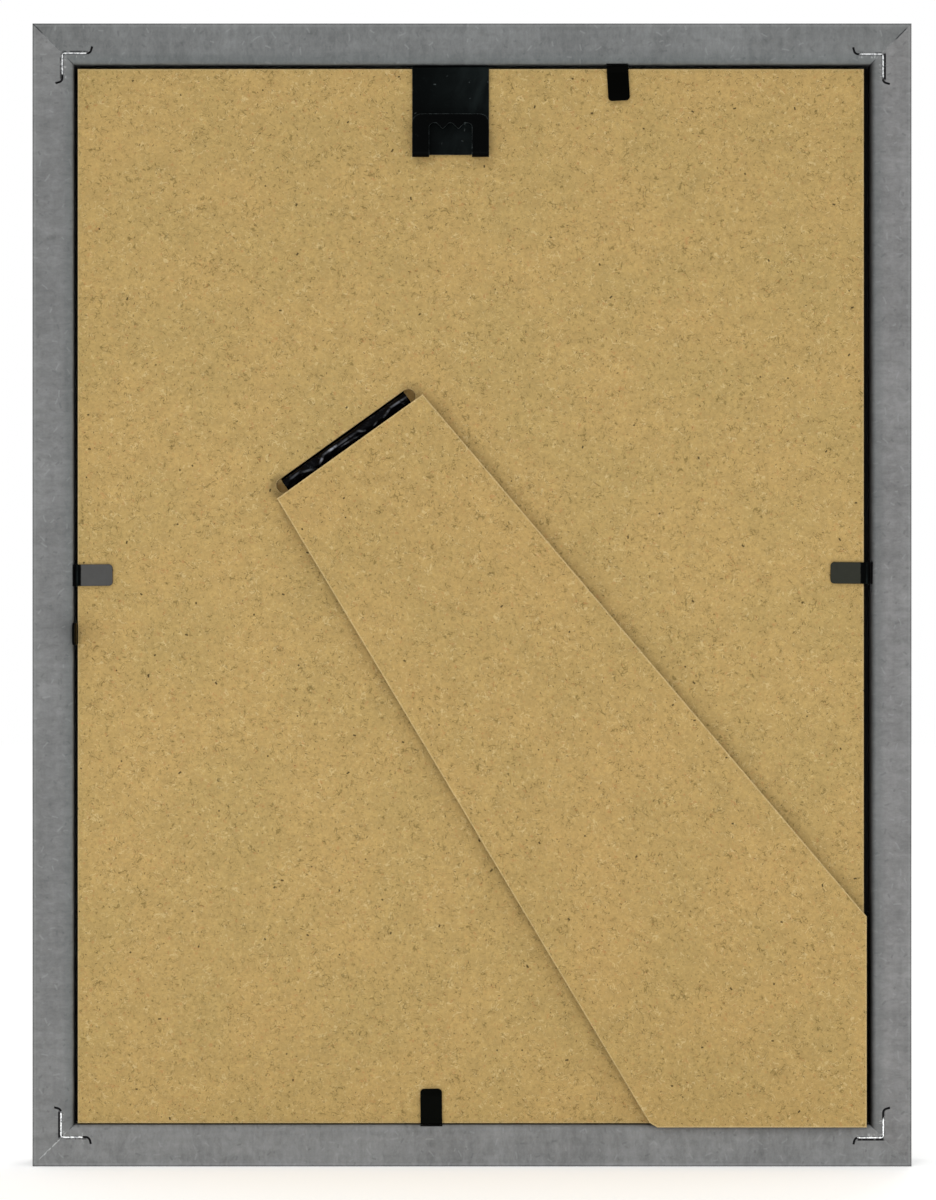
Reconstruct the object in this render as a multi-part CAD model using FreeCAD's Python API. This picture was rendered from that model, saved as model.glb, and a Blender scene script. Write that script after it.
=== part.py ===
import FreeCAD, Part
import math
import os
from FreeCAD import Placement, Rotation, Vector

# A photo frame for an 18 x 24 cm sheet: four mitred rails, glass, insert, a backboard held by
# bendable tabs, a sheet steel hanger and a folding easel leg on a strip hinge.
# It stands upright: +Z is up and the picture looks along -Y, so the back is at +Y.
# The origin is the middle of the bottom rail's underside.
# Left and right are as seen from the back, so left is +X. Sizes are in millimetres.

# Frame and moulding
frame_width = 201.2
frame_height = 261.6
rail_depth = 16.0
rail_wall = 9.4
sight_lip = 5.0
outer_round = 0.25
front_round = 0.8
rebate_round = 1.2

# Sheets in the rebate, from the picture side to the back
glass_thickness = 2.0
glass_seam = 0.2
insert_thickness = 0.25
leaf_space = 0.6
board_thickness = 2.5
board_recess = 1.5
board_arris = 0.15
seat_gap = 0.3
sheet_side_gap = 1.2
sheet_top_gap = 2.5
board_side_gap = 1.1
board_shift = 0.28
board_top_gap = 0.84

# V-nails across the mitres
nail_thickness = 0.42
nail_depth = 10.0
nail_sink = 0.12
nail_arm = 6.4
nail_tail = 1.6
nail_bend_radius = 0.7
nail_curl_radius = 1.0
nail_curl_deg = 75.0
nail_clearance = 0.05

# Bendable tabs: a flat shank driven into the rebate wall and a tongue over the board
tab_thickness = 0.5
tab_width = 4.95
tab_length = 12.95
tab_corner_radius = 0.9
tab_axis_height = 0.75
tab_axis_gap = 0.45
tab_joint_gap = 0.15
tab_rest_gap = 0.1
tab_slope_run = 1.2
tab_bend_radius = 0.6
tab_tip_run = 1.6
tab_tip_rise = 0.3
tab_clearance = 0.06
spare_lift_deg = 90.0

# Where each tab sits, measured along its rail from the rail's middle
top_tab_along = 33.3
bottom_tab_along = 9.3
left_tab_along = 4.5
right_tab_along = -5.0
spare_tab_along = -8.9

# How far each tab stands out of its rail; the rest of its length is driven in
top_tab_reach = 8.2
bottom_tab_reach = 8.3
left_tab_reach = 8.9
right_tab_reach = 9.1
spare_tab_reach = 8.4

# Worn place in the rail beside the right tab
notch_length = 7.2
notch_depth = 0.55
notch_shift = 0.7
notch_radius = 0.25

# Hanger, one bent strip of sheet steel over the board's top edge
clip_thickness = 0.5
clip_width = 17.6
clip_offset = 4.9
clip_drop = 20.36
clip_inner_leaf = 8.0
clip_bend_radius = 0.35
clip_gap = 0.05
fold_radius = 1.15
flap_height = 9.8
flap_shoulder_radius = 2.2
cutout_width = 9.8
cutout_height = 7.7
cutout_corner_radius = 1.0
tooth_depth = 1.4
tooth_pitch = 3.6
tooth_half_width = 1.4
tooth_radius = 0.25
plate_end_rise = 0.6

# Easel leg and its strip hinge
leg_thickness = 2.5
leg_top_width = 40.95
leg_flare_deg = 4.78
leg_slant_deg = 35.6
leg_side_gap = 1.0
leg_foot_gap = 0.3
leg_foot_bevel = 0.65
leg_corner_cut = 1.2
leg_arris = 0.15
hinge_across = 27.93
hinge_above_middle = 33.95
strip_end_inset = 3.2
strip_thickness = 0.4
strip_board_gap = 0.2
anchor_length = 18.0
leaf_length = 18.0
strip_bend_radius = 0.4
bead_lift = 0.1
slot_width = 3.35
slot_end_gap = 1.95
slot_clearance = 0.35
bead_gap = 0.3

# Cuts run past the faces that they go through by this much
overrun = 3.0
# Two points closer than this are one point
same_point = 0.00001

# Levels through the depth and up the height
back_y = rail_depth / 2
front_y = -rail_depth / 2
board_back = back_y - board_recess
board_front = board_back - board_thickness
insert_back = board_front - leaf_space
glass_back = insert_back - insert_thickness
glass_front = glass_back - glass_thickness
middle_z = frame_height / 2
opening_width = frame_width - 2 * rail_wall
opening_height = frame_height - 2 * rail_wall
seat_z = rail_wall + seat_gap
board_width = opening_width - 2 * board_side_gap
board_height = opening_height - seat_gap - board_top_gap
board_top = seat_z + board_height
sheet_width = opening_width - 2 * sheet_side_gap
sheet_height = opening_height - seat_gap - sheet_top_gap
strip_width = leg_top_width - 2 * strip_end_inset

# The four rails: where the middle of the outer face lies, as shares of the frame's width and
# height, and the turn about Y that brings the bottom rail there
rail_middle_shares = {"bottom": (0, 0), "top": (0, 1), "left": (0.5, 0.5), "right": (-0.5, 0.5)}
rail_turn_deg = {"bottom": 0, "top": 180, "left": -90, "right": 90}
rail_length = {
    "bottom": frame_width,
    "top": frame_width,
    "left": frame_height,
    "right": frame_height,
}

# The four corners: the side and the end of the frame that each one lies at
corners = {
    "top_left": (1, "top"),
    "top_right": (-1, "top"),
    "bottom_left": (1, "bottom"),
    "bottom_right": (-1, "bottom"),
}

# How far each V-nail's arms lie from the frame's side and from its end: driven in by hand,
# they are all a little different
nail_setbacks = {
    "top_left": (6.85, 6.85),
    "top_right": (6.55, 7.05),
    "bottom_left": (6.55, 6.72),
    "bottom_right": (6.5, 6.62),
}

# The five tabs: rail, place along it, reach, slight skew in the board's plane, and lift at rest
tabs = {
    "top": {
        "rail": "top",
        "along": top_tab_along,
        "reach": top_tab_reach,
        "skew_deg": 3.2,
        "lift_deg": 0,
    },
    "bottom": {
        "rail": "bottom",
        "along": bottom_tab_along,
        "reach": bottom_tab_reach,
        "skew_deg": 0.6,
        "lift_deg": 0,
    },
    "left": {
        "rail": "left",
        "along": left_tab_along,
        "reach": left_tab_reach,
        "skew_deg": 0.5,
        "lift_deg": 0,
    },
    "right": {
        "rail": "right",
        "along": right_tab_along,
        "reach": right_tab_reach,
        "skew_deg": -0.6,
        "lift_deg": 0,
    },
    "spare": {
        "rail": "left",
        "along": spare_tab_along,
        "reach": spare_tab_reach,
        "skew_deg": 0,
        "lift_deg": spare_lift_deg,
    },
}

across = Vector(1, 0, 0)
depthwise = Vector(0, 1, 0)


def at_depth(y):
    # Puts a flat (x, z) point at the depth y
    return lambda point: Vector(point.x, y, point.y)


def at_side(x):
    # Puts a flat (y, z) point at the place x
    return lambda point: Vector(x, point.x, point.y)


def rounded_wire(points, put):
    # Closed outline through (a, b, radius) corners, each rounded by a tangent arc
    count = len(points)
    rounds = []
    for i in range(count):
        here = Vector(points[i][0], points[i][1], 0)
        before = Vector(points[i - 1][0], points[i - 1][1], 0)
        after = Vector(points[(i + 1) % count][0], points[(i + 1) % count][1], 0)
        radius = points[i][2]
        if radius == 0:
            rounds.append((here, None, here))
            continue
        to_before = (before - here).normalize()
        to_after = (after - here).normalize()
        half = to_before.getAngle(to_after) / 2
        reach = radius / math.tan(half)
        middle = here + (to_before + to_after).normalize() * (radius / math.sin(half) - radius)
        rounds.append((here + to_before * reach, middle, here + to_after * reach))
    edges = []
    for i in range(count):
        start, middle, end = rounds[i]
        if middle is not None:
            edges.append(Part.Arc(put(start), put(middle), put(end)).toShape())
        following = rounds[(i + 1) % count][0]
        if end.distanceToPoint(following) > same_point:
            edges.append(Part.LineSegment(put(end), put(following)).toShape())
    return Part.Wire(edges)


def band(path, thickness):
    # Corners of the closed outline that follows an open (a, b, radius) path on both sides
    left = []
    right = []
    for i, (a, b, radius) in enumerate(path):
        here = Vector(a, b, 0)
        arriving = None
        leaving = None
        if i > 0:
            arriving = (here - Vector(path[i - 1][0], path[i - 1][1], 0)).normalize()
        if i < len(path) - 1:
            leaving = (Vector(path[i + 1][0], path[i + 1][1], 0) - here).normalize()
        arriving = arriving or leaving
        leaving = leaving or arriving
        normals = Vector(-arriving.y - leaving.y, arriving.x + leaving.x, 0)
        shift = normals * (thickness / 2 / (1 + arriving.dot(leaving)))
        inner = math.copysign(thickness / 2, arriving.cross(leaving).z)
        left_radius = radius - inner if radius else 0
        right_radius = radius + inner if radius else 0
        left.append((here.x + shift.x, here.y + shift.y, left_radius))
        right.append((here.x - shift.x, here.y - shift.y, right_radius))
    return left + right[::-1]


def prism(points, put, direction):
    return Part.Face(rounded_wire(points, put)).extrude(direction)


def block(x_low, x_high, y_low, y_high, z_low, z_high):
    corner = Vector(x_low, y_low, z_low)
    return Part.makeBox(x_high - x_low, y_high - y_low, z_high - z_low, corner)


def placed(shape, placement):
    shape.Placement = placement.multiply(shape.Placement)
    return shape


def edges_on_level(shape, y):
    # The edges of a sheet that lie wholly on one level through the depth
    return [
        edge
        for edge in shape.Edges
        if all(abs(vertex.Point.y - y) < same_point for vertex in edge.Vertexes)
    ]


# Rails


def rail_placement(rail):
    x_share, z_share = rail_middle_shares[rail]
    middle = Vector(x_share * frame_width, 0, z_share * frame_height)
    return Placement(middle, Rotation(depthwise, rail_turn_deg[rail]))


def moulding_section(x):
    # Rebated section of the moulding, from its outer face (z = 0) inwards
    lip_edge = rail_wall + sight_lip
    points = [
        (front_y, 0, front_round),
        (back_y, 0, outer_round),
        (back_y, rail_wall, rebate_round),
        (glass_front, rail_wall, 0),
        (glass_front, lip_edge, 0),
        (front_y, lip_edge, front_round),
    ]
    return Part.Face(rounded_wire(points, at_side(x)))


def mitred_bar(length):
    # A bottom rail of the given length, cut at 45 degrees at both ends
    half = length / 2
    inward = rail_wall + sight_lip + overrun
    bar = moulding_section(-half).extrude(across * length)
    keep = [
        (-half - overrun, -overrun, 0),
        (half + overrun, -overrun, 0),
        (half - inward, inward, 0),
        (inward - half, inward, 0),
    ]
    wedge = prism(keep, at_depth(front_y - overrun), depthwise * (rail_depth + 2 * overrun))
    return bar.common(wedge)


def rail(name):
    shape = placed(mitred_bar(rail_length[name]), rail_placement(name))
    for corner in corners:
        if name in corner.split("_"):
            shape = shape.cut(nail_slot(corner))
    for tab in tabs:
        if tabs[tab]["rail"] == name:
            shape = shape.cut(tab_slot(tab))
    if name == "right":
        shape = shape.cut(worn_notch())
    return shape


# V-nails


def nail_path(corner, tail):
    # Two equal arms from the bend on the mitre, their ends curled towards the outer faces.
    # Both coordinates are measured inwards from the frame's outer faces.
    turn = math.radians(nail_curl_deg)
    from_side, from_end = nail_setbacks[corner]
    onward = nail_arm + tail * math.cos(turn)
    outward = tail * math.sin(turn)
    return [
        (from_side + onward, from_end - outward, 0),
        (from_side + nail_arm, from_end, nail_curl_radius),
        (from_side, from_end, nail_bend_radius),
        (from_side, from_end + nail_arm, nail_curl_radius),
        (from_side - outward, from_end + onward, 0),
    ]


def at_corner(corner, y):
    side, end = corners[corner]
    base = frame_height if end == "top" else 0
    upward = -1 if end == "top" else 1
    return lambda point: Vector(side * (frame_width / 2 - point.x), y, base + upward * point.y)


def v_nail(corner):
    put = at_corner(corner, back_y - nail_sink)
    outline = band(nail_path(corner, nail_tail), nail_thickness)
    return prism(outline, put, depthwise * -nail_depth)


def nail_slot(corner):
    depth = overrun + nail_sink + nail_depth + nail_clearance
    path = nail_path(corner, nail_tail + nail_clearance)
    outline = band(path, nail_thickness + 2 * nail_clearance)
    return prism(outline, at_corner(corner, back_y + overrun), depthwise * -depth)


# Tabs


def tab_placement(tab):
    # Origin on the tab's bend line, x along the rail, y to the back, z over the board
    data = tabs[tab]
    seat = Vector(data["along"], board_back + tab_axis_height, rail_wall + tab_axis_gap)
    skewed = Placement(seat, Rotation(depthwise, data["skew_deg"]))
    return rail_placement(data["rail"]).multiply(skewed)


def tab_embedded(tab):
    return tab_length - tabs[tab]["reach"]


def tab_shank(tab):
    half = tab_width / 2
    half_thick = tab_thickness / 2
    plate = block(
        -half,
        half,
        -half_thick,
        half_thick,
        -tab_axis_gap - tab_embedded(tab),
        -half_thick - tab_joint_gap,
    )
    return placed(plate, tab_placement(tab))


def tab_slot(tab):
    half = tab_width / 2 + tab_clearance
    half_thick = tab_thickness / 2 + tab_clearance
    depth = tab_axis_gap + tab_embedded(tab) + tab_clearance
    return placed(block(-half, half, -half_thick, half_thick, -depth, 0), tab_placement(tab))


def tab_tongue(tab):
    # A strip that slopes down onto the board, lies flat and lifts a little at its rounded tip
    half = tab_width / 2
    drop = tab_axis_height - tab_rest_gap - tab_thickness / 2
    reach = tabs[tab]["reach"] - tab_axis_gap
    side = [
        (0, 0, 0),
        (-drop, tab_slope_run, tab_bend_radius),
        (-drop, reach - tab_tip_run, tab_bend_radius),
        (tab_tip_rise - drop, reach, 0),
    ]
    strip = prism(band(side, tab_thickness), at_side(-half), across * tab_width)
    plan = [
        (-half, -overrun, 0),
        (half, -overrun, 0),
        (half, reach, tab_corner_radius),
        (-half, reach, tab_corner_radius),
    ]
    strip = strip.common(prism(plan, at_depth(-overrun), depthwise * (2 * overrun)))
    root = Part.makeCylinder(tab_thickness / 2, tab_width, Vector(-half, 0, 0), across)
    tongue = strip.fuse(root).removeSplitter()
    lift = Placement(Vector(0, 0, 0), Rotation(across, -tabs[tab]["lift_deg"]))
    return placed(tongue, tab_placement(tab).multiply(lift))


def worn_notch():
    # The rail's inner edge is crushed away beside the right tab
    half = notch_length / 2
    level = -tab_thickness / 2 - tab_clearance
    deepest = -tab_axis_gap - notch_depth
    outline = [
        (notch_shift - half, overrun, 0),
        (notch_shift - half, deepest, notch_radius),
        (notch_shift + half, deepest, notch_radius),
        (notch_shift + half, overrun, 0),
    ]
    hollow = prism(outline, at_depth(level), depthwise * (board_recess + overrun))
    return placed(hollow, tab_placement("right"))


# Glass, insert and backboard


def glass_pane():
    half = sheet_width / 2
    pane = block(-half, half, glass_front, glass_back, seat_z, seat_z + sheet_height)
    rims = edges_on_level(pane, glass_front) + edges_on_level(pane, glass_back)
    return pane.makeChamfer(glass_seam, rims)


def picture_insert():
    half = sheet_width / 2
    return block(-half, half, glass_back, insert_back, seat_z, seat_z + sheet_height)


def backboard():
    # It lies a little to the left in the opening
    left = board_shift + board_width / 2
    right = board_shift - board_width / 2
    board = block(right, left, board_front, board_back, seat_z, board_top)
    board = board.makeChamfer(board_arris, edges_on_level(board, board_back))
    return board.cut(hinge_slot())


# Hanger


def hanger_clip():
    # Inner leaf, bend over the board's top edge, plate down the back, fold, and raised flap
    half = clip_width / 2
    leaf_y = board_front - clip_gap - clip_thickness / 2
    plate_y = board_back + clip_gap + clip_thickness / 2
    flap_y = plate_y + 2 * fold_radius
    over_z = board_top + clip_gap + clip_thickness / 2
    bottom_z = board_top - clip_drop
    fold_z = bottom_z + clip_thickness / 2
    path = [
        (leaf_y, board_top - clip_inner_leaf, 0),
        (leaf_y, over_z, clip_bend_radius),
        (plate_y, over_z, clip_bend_radius),
        (plate_y, fold_z, fold_radius),
        (flap_y, fold_z, fold_radius),
        (flap_y, bottom_z + flap_height, 0),
    ]
    clip = prism(band(path, clip_thickness), at_side(clip_offset - half), across * clip_width)
    shoulders = [
        edge
        for edge in clip.Edges
        if abs(edge.Length - clip_thickness) < same_point
        and all(abs(v.Point.z - bottom_z - flap_height) < same_point for v in edge.Vertexes)
    ]
    clip = clip.makeFillet(flap_shoulder_radius, shoulders)
    clip = clip.cut(flap_cutout(bottom_z, plate_y))
    tangent_z = fold_z + fold_radius
    half_cut = cutout_width / 2
    through = block(
        clip_offset - half_cut,
        clip_offset + half_cut,
        plate_y - clip_thickness,
        flap_y + clip_thickness,
        bottom_z - clip_thickness,
        tangent_z,
    )
    plate_end = block(
        clip_offset - half_cut,
        clip_offset + half_cut,
        plate_y - clip_thickness / 2,
        plate_y + clip_thickness / 2,
        bottom_z + plate_end_rise,
        tangent_z,
    )
    return clip.cut(through).fuse(plate_end).removeSplitter()


def flap_cutout(bottom_z, plate_y):
    # Window in the flap, open at the fold, with two teeth that point down into it
    half = cutout_width / 2
    top_z = bottom_z + cutout_height
    points = [(-half, bottom_z - overrun, 0), (-half, top_z, cutout_corner_radius)]
    for tooth in (-tooth_pitch / 2, tooth_pitch / 2):
        points.append((tooth - tooth_half_width, top_z, 0))
        points.append((tooth, top_z - tooth_depth, tooth_radius))
        points.append((tooth + tooth_half_width, top_z, 0))
    points.append((half, top_z, cutout_corner_radius))
    points.append((half, bottom_z - overrun, 0))
    window = prism(points, at_depth(plate_y + fold_radius), depthwise * (fold_radius + overrun))
    return placed(window, Placement(Vector(clip_offset, 0, 0), Rotation()))


# Easel leg and strip hinge


def hinge_placement():
    # Origin on the middle of the leg's top edge, x along that edge and z up, away from the foot
    middle = Vector(hinge_across, board_back, middle_z + hinge_above_middle)
    return Placement(middle, Rotation(depthwise, leg_slant_deg))


def hinge_slot():
    # Slot with round ends through the board, just above the leg's top edge
    half = strip_width / 2 + slot_end_gap
    outline = [
        (-half, 0, slot_width / 2),
        (half, 0, slot_width / 2),
        (half, slot_width, slot_width / 2),
        (-half, slot_width, slot_width / 2),
    ]
    depth = board_thickness + 2 * overrun
    slot = prism(outline, at_depth(-board_thickness - overrun), depthwise * depth)
    return placed(slot, hinge_placement())


def hinge_strip_anchor():
    # Leaf behind the board, a web through the slot and the rolled bead that the leg turns on
    half = strip_width / 2
    axis_z = slot_width / 2
    anchor_y = -board_thickness - leaf_space / 2
    path = [
        (anchor_y, axis_z + anchor_length, 0),
        (anchor_y, axis_z, strip_bend_radius),
        (bead_lift, axis_z, 0),
    ]
    strip = prism(band(path, strip_thickness), at_side(-half), across * strip_width)
    radius = slot_width / 2 - slot_clearance
    bead = Part.makeCylinder(radius, strip_width, Vector(-half, bead_lift, axis_z), across)
    return placed(strip.fuse(bead).removeSplitter(), hinge_placement())


def hinge_strip_leaf():
    # The strip's other half, glued under the leg
    half = strip_width / 2
    bead_edge = slot_clearance
    leaf = block(
        -half,
        half,
        strip_board_gap,
        strip_board_gap + strip_thickness,
        -leaf_length,
        bead_edge - bead_gap,
    )
    return placed(leaf, hinge_placement())


def easel_leg():
    # A tapered leg, cut off by the sides of the opening so that it folds inside the frame
    half_top = leg_top_width / 2
    length = frame_width + frame_height
    half_foot = half_top + length * math.tan(math.radians(leg_flare_deg))
    under = board_back + strip_board_gap + strip_thickness
    taper = [
        (-half_top, 0, 0),
        (half_top, 0, 0),
        (half_foot, -length, 0),
        (-half_foot, -length, 0),
    ]
    leg = prism(taper, at_depth(under - board_back), depthwise * leg_thickness)
    leg = placed(leg, hinge_placement())
    # Its foot is bevelled, so that the outer arris comes down over the bottom rail
    over = under + leg_thickness
    foot_z = rail_wall + leg_foot_gap
    bounds = [
        (under, foot_z, 0),
        (over, foot_z - leg_foot_bevel, 0),
        (over, frame_height, 0),
        (under, frame_height, 0),
    ]
    right = leg_side_gap - opening_width / 2
    leg = leg.common(prism(bounds, at_side(right), across * opening_width)).removeSplitter()
    foot = [
        edge
        for edge in leg.Edges
        if all(v.Point.z < foot_z + same_point for v in edge.Vertexes)
        and {round(v.Point.y - under, 3) for v in edge.Vertexes} == {0, leg_thickness}
    ]
    inner_foot = max(foot, key=lambda edge: edge.Vertexes[0].Point.x)
    leg = leg.makeChamfer(leg_corner_cut, [inner_foot])
    return leg.makeChamfer(leg_arris, edges_on_level(leg, over))


def all_pieces():
    pieces = {}
    for name in rail_length:
        pieces["rail_" + name] = rail(name)
    for corner in corners:
        pieces["v_nail_" + corner] = v_nail(corner)
    pieces["glass_pane"] = glass_pane()
    pieces["picture_insert"] = picture_insert()
    pieces["backboard"] = backboard()
    pieces["hanger_clip"] = hanger_clip()
    pieces["hinge_strip_anchor"] = hinge_strip_anchor()
    pieces["hinge_strip_leaf"] = hinge_strip_leaf()
    pieces["easel_leg"] = easel_leg()
    for tab in tabs:
        pieces["tab_shank_" + tab] = tab_shank(tab)
        pieces["tab_tongue_" + tab] = tab_tongue(tab)
    return pieces


os.makedirs("parts", exist_ok=True)
for name, shape in all_pieces().items():
    print(name, "valid" if shape.isValid() else "not valid", len(shape.Solids), "solid")
    shape.exportStep("parts/" + name + ".step")
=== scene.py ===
import math

import bmesh
import bpy
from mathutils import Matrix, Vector, noise


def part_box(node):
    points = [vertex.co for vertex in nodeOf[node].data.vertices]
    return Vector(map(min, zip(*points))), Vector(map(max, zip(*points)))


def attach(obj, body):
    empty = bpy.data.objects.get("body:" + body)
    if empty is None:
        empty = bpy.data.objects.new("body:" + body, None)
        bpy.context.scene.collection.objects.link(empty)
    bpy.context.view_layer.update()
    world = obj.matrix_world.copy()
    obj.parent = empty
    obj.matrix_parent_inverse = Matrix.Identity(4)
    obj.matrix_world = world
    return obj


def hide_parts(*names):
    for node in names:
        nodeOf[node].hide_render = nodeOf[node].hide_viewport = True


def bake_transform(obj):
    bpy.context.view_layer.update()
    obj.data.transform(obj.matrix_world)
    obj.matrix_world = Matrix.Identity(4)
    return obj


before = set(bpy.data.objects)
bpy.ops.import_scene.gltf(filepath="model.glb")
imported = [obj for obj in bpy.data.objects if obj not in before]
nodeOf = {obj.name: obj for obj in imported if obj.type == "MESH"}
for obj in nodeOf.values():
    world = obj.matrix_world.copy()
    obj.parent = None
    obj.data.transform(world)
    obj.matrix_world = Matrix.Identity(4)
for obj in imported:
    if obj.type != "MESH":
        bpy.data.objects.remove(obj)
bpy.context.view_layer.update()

# The back of a mitred photo frame, standing upright. The back faces +Y, the picture side -Y,
# and left is +X, as seen from the back. The scene is in metres; the tables and the finishes
# work in millimetres and degrees. Colours are 0 to 255.

mm = 0.001


# Small helpers for material nodes

def tone(red, green, blue):
    # a colour as a picture shows it, made linear
    def linear(value):
        value = value / 255
        return value / 12.92 if value <= 0.04045 else ((value + 0.055) / 1.055) ** 2.4
    return (linear(red), linear(green), linear(blue), 1.0)


def plug(tree, socket, value):
    if isinstance(value, bpy.types.NodeSocket):
        tree.links.new(value, socket)
    else:
        socket.default_value = value


def maths(tree, operation, first, second=0.0, third=None, clamp=False):
    node = tree.nodes.new("ShaderNodeMath")
    node.operation = operation
    node.use_clamp = clamp
    plug(tree, node.inputs[0], first)
    plug(tree, node.inputs[1], second)
    if third is not None:
        plug(tree, node.inputs[2], third)
    return node.outputs[0]


def between(tree, value, low, high, bottom=0.0, top=1.0, smooth=True):
    # bottom at low, top at high, and held there beyond them
    node = tree.nodes.new("ShaderNodeMapRange")
    node.interpolation_type = "SMOOTHSTEP" if smooth else "LINEAR"
    plug(tree, node.inputs["Value"], value)
    node.inputs["From Min"].default_value = low
    node.inputs["From Max"].default_value = high
    node.inputs["To Min"].default_value = bottom
    node.inputs["To Max"].default_value = top
    return node.outputs["Result"]


def band(tree, value, low, high, soft):
    # 1 between low and high, with soft ends
    return product(
        tree, between(tree, value, low - soft, low + soft),
        between(tree, value, high + soft, high - soft))


def product(tree, first, *others):
    for other in others:
        first = maths(tree, "MULTIPLY", first, other)
    return first


def summed(tree, start, *layers):
    # adds each layer, times its share, to the start
    for layer, share in layers:
        start = maths(tree, "MULTIPLY_ADD", layer, share, start)
    return start


def opposite(tree, share):
    return maths(tree, "SUBTRACT", 1.0, share)


def blended(tree, amount, first, second):
    node = tree.nodes.new("ShaderNodeMix")
    node.data_type = "RGBA"
    plug(tree, node.inputs["Factor"], amount)
    plug(tree, node.inputs["A"], first)
    plug(tree, node.inputs["B"], second)
    return node.outputs["Result"]


def brightened(tree, colour, value):
    # multiplies a colour by a value around 1
    node = tree.nodes.new("ShaderNodeVectorMath")
    node.operation = "SCALE"
    plug(tree, node.inputs[0], colour[:3] if isinstance(colour, tuple) else colour)
    plug(tree, node.inputs["Scale"], value)
    return node.outputs["Vector"]


def vectorMaths(tree, operation, first, second):
    node = tree.nodes.new("ShaderNodeVectorMath")
    node.operation = operation
    plug(tree, node.inputs[0], first)
    plug(tree, node.inputs[1], second)
    return node.outputs["Value" if operation == "DOT_PRODUCT" else "Vector"]


def stretched(tree, point, scale):
    return vectorMaths(tree, "MULTIPLY", point, scale)


def placeOn(tree, turn=0.0, shift=(0.0, 0.0, 0.0)):
    # a point on the piece, in millimetres, turned about the depth so that pieces differ
    spot = tree.nodes.new("ShaderNodeTexCoord")
    mapping = tree.nodes.new("ShaderNodeMapping")
    mapping.inputs["Location"].default_value = shift
    mapping.inputs["Rotation"].default_value = (0.0, turn, 0.0)
    mapping.inputs["Scale"].default_value = (1 / mm, 1 / mm, 1 / mm)
    tree.links.new(spot.outputs["Object"], mapping.inputs["Vector"])
    return mapping.outputs["Vector"]


def parts(tree, point):
    node = tree.nodes.new("ShaderNodeSeparateXYZ")
    tree.links.new(point, node.inputs[0])
    return node.outputs[0], node.outputs[1], node.outputs[2]


def pointAt(tree, x, y, z=0.0):
    node = tree.nodes.new("ShaderNodeCombineXYZ")
    for socket, value in zip(node.inputs, (x, y, z)):
        plug(tree, socket, value)
    return node.outputs[0]


def cloud(tree, point, size, detail=2.0, roughness=0.5, distortion=0.0):
    # noise whose blotches are about size millimetres, from 0 to 1
    node = tree.nodes.new("ShaderNodeTexNoise")
    tree.links.new(point, node.inputs["Vector"])
    node.inputs["Scale"].default_value = 1.0 / size
    node.inputs["Detail"].default_value = detail
    node.inputs["Roughness"].default_value = roughness
    node.inputs["Distortion"].default_value = distortion
    return node.outputs["Fac"]


def sharpEdges(tree, radius):
    # 0 on flats, up to 1 where the piece turns a corner sharper than the radius
    bevel = tree.nodes.new("ShaderNodeBevel")
    bevel.samples = 6
    bevel.inputs["Radius"].default_value = radius * mm
    facing = tree.nodes.new("ShaderNodeNewGeometry")
    turned = vectorMaths(tree, "DOT_PRODUCT", bevel.outputs["Normal"], facing.outputs["Normal"])
    return between(tree, turned, 0.995, 0.85)


def backwards(tree):
    # 1 where the piece faces straight back, -1 where it faces the picture side
    facing = tree.nodes.new("ShaderNodeTexCoord")
    return parts(tree, facing.outputs["Normal"])[1]


def onBroadFace(tree):
    # 1 on the front and the back, 0 on the edges around them
    return between(tree, maths(tree, "ABSOLUTE", backwards(tree)), 0.35, 0.65)


def newFinish(name, specular=0.5, metallic=0.0):
    material = bpy.data.materials.new(name)
    material.use_nodes = True
    tree = material.node_tree
    shader = tree.nodes["Principled BSDF"]
    shader.inputs["Specular IOR Level"].default_value = specular
    shader.inputs["Metallic"].default_value = metallic
    return material, tree, shader


def surface(tree, shader, colour, roughness, heights, depth, strength):
    # connects a finish's colour and roughness, and its relief of the given depth
    tree.links.new(colour, shader.inputs["Base Color"])
    tree.links.new(roughness, shader.inputs["Roughness"])
    bump = tree.nodes.new("ShaderNodeBump")
    bump.inputs["Strength"].default_value = strength
    bump.inputs["Distance"].default_value = depth * mm
    plug(tree, bump.inputs["Height"], heights)
    tree.links.new(bump.outputs["Normal"], shader.inputs["Normal"])


def dress(nodeName, material):
    # gives a CAD piece its finish
    piece = nodeOf[nodeName]
    piece.data.materials.clear()
    piece.data.materials.append(material)


def newPiece(name, build):
    # turns a finished bmesh into an object of the scene
    mesh = bpy.data.meshes.new(name)
    build.to_mesh(mesh)
    build.free()
    piece = bpy.data.objects.new(name, mesh)
    bpy.context.scene.collection.objects.link(piece)
    return piece


# Hinge strip: one creased black coated band, fixed behind the board, up through its slot in a
# rumpled roll, and down under the leg. Its own axes run along the leg's top edge, out of the
# board, and away from the leg's foot.

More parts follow.
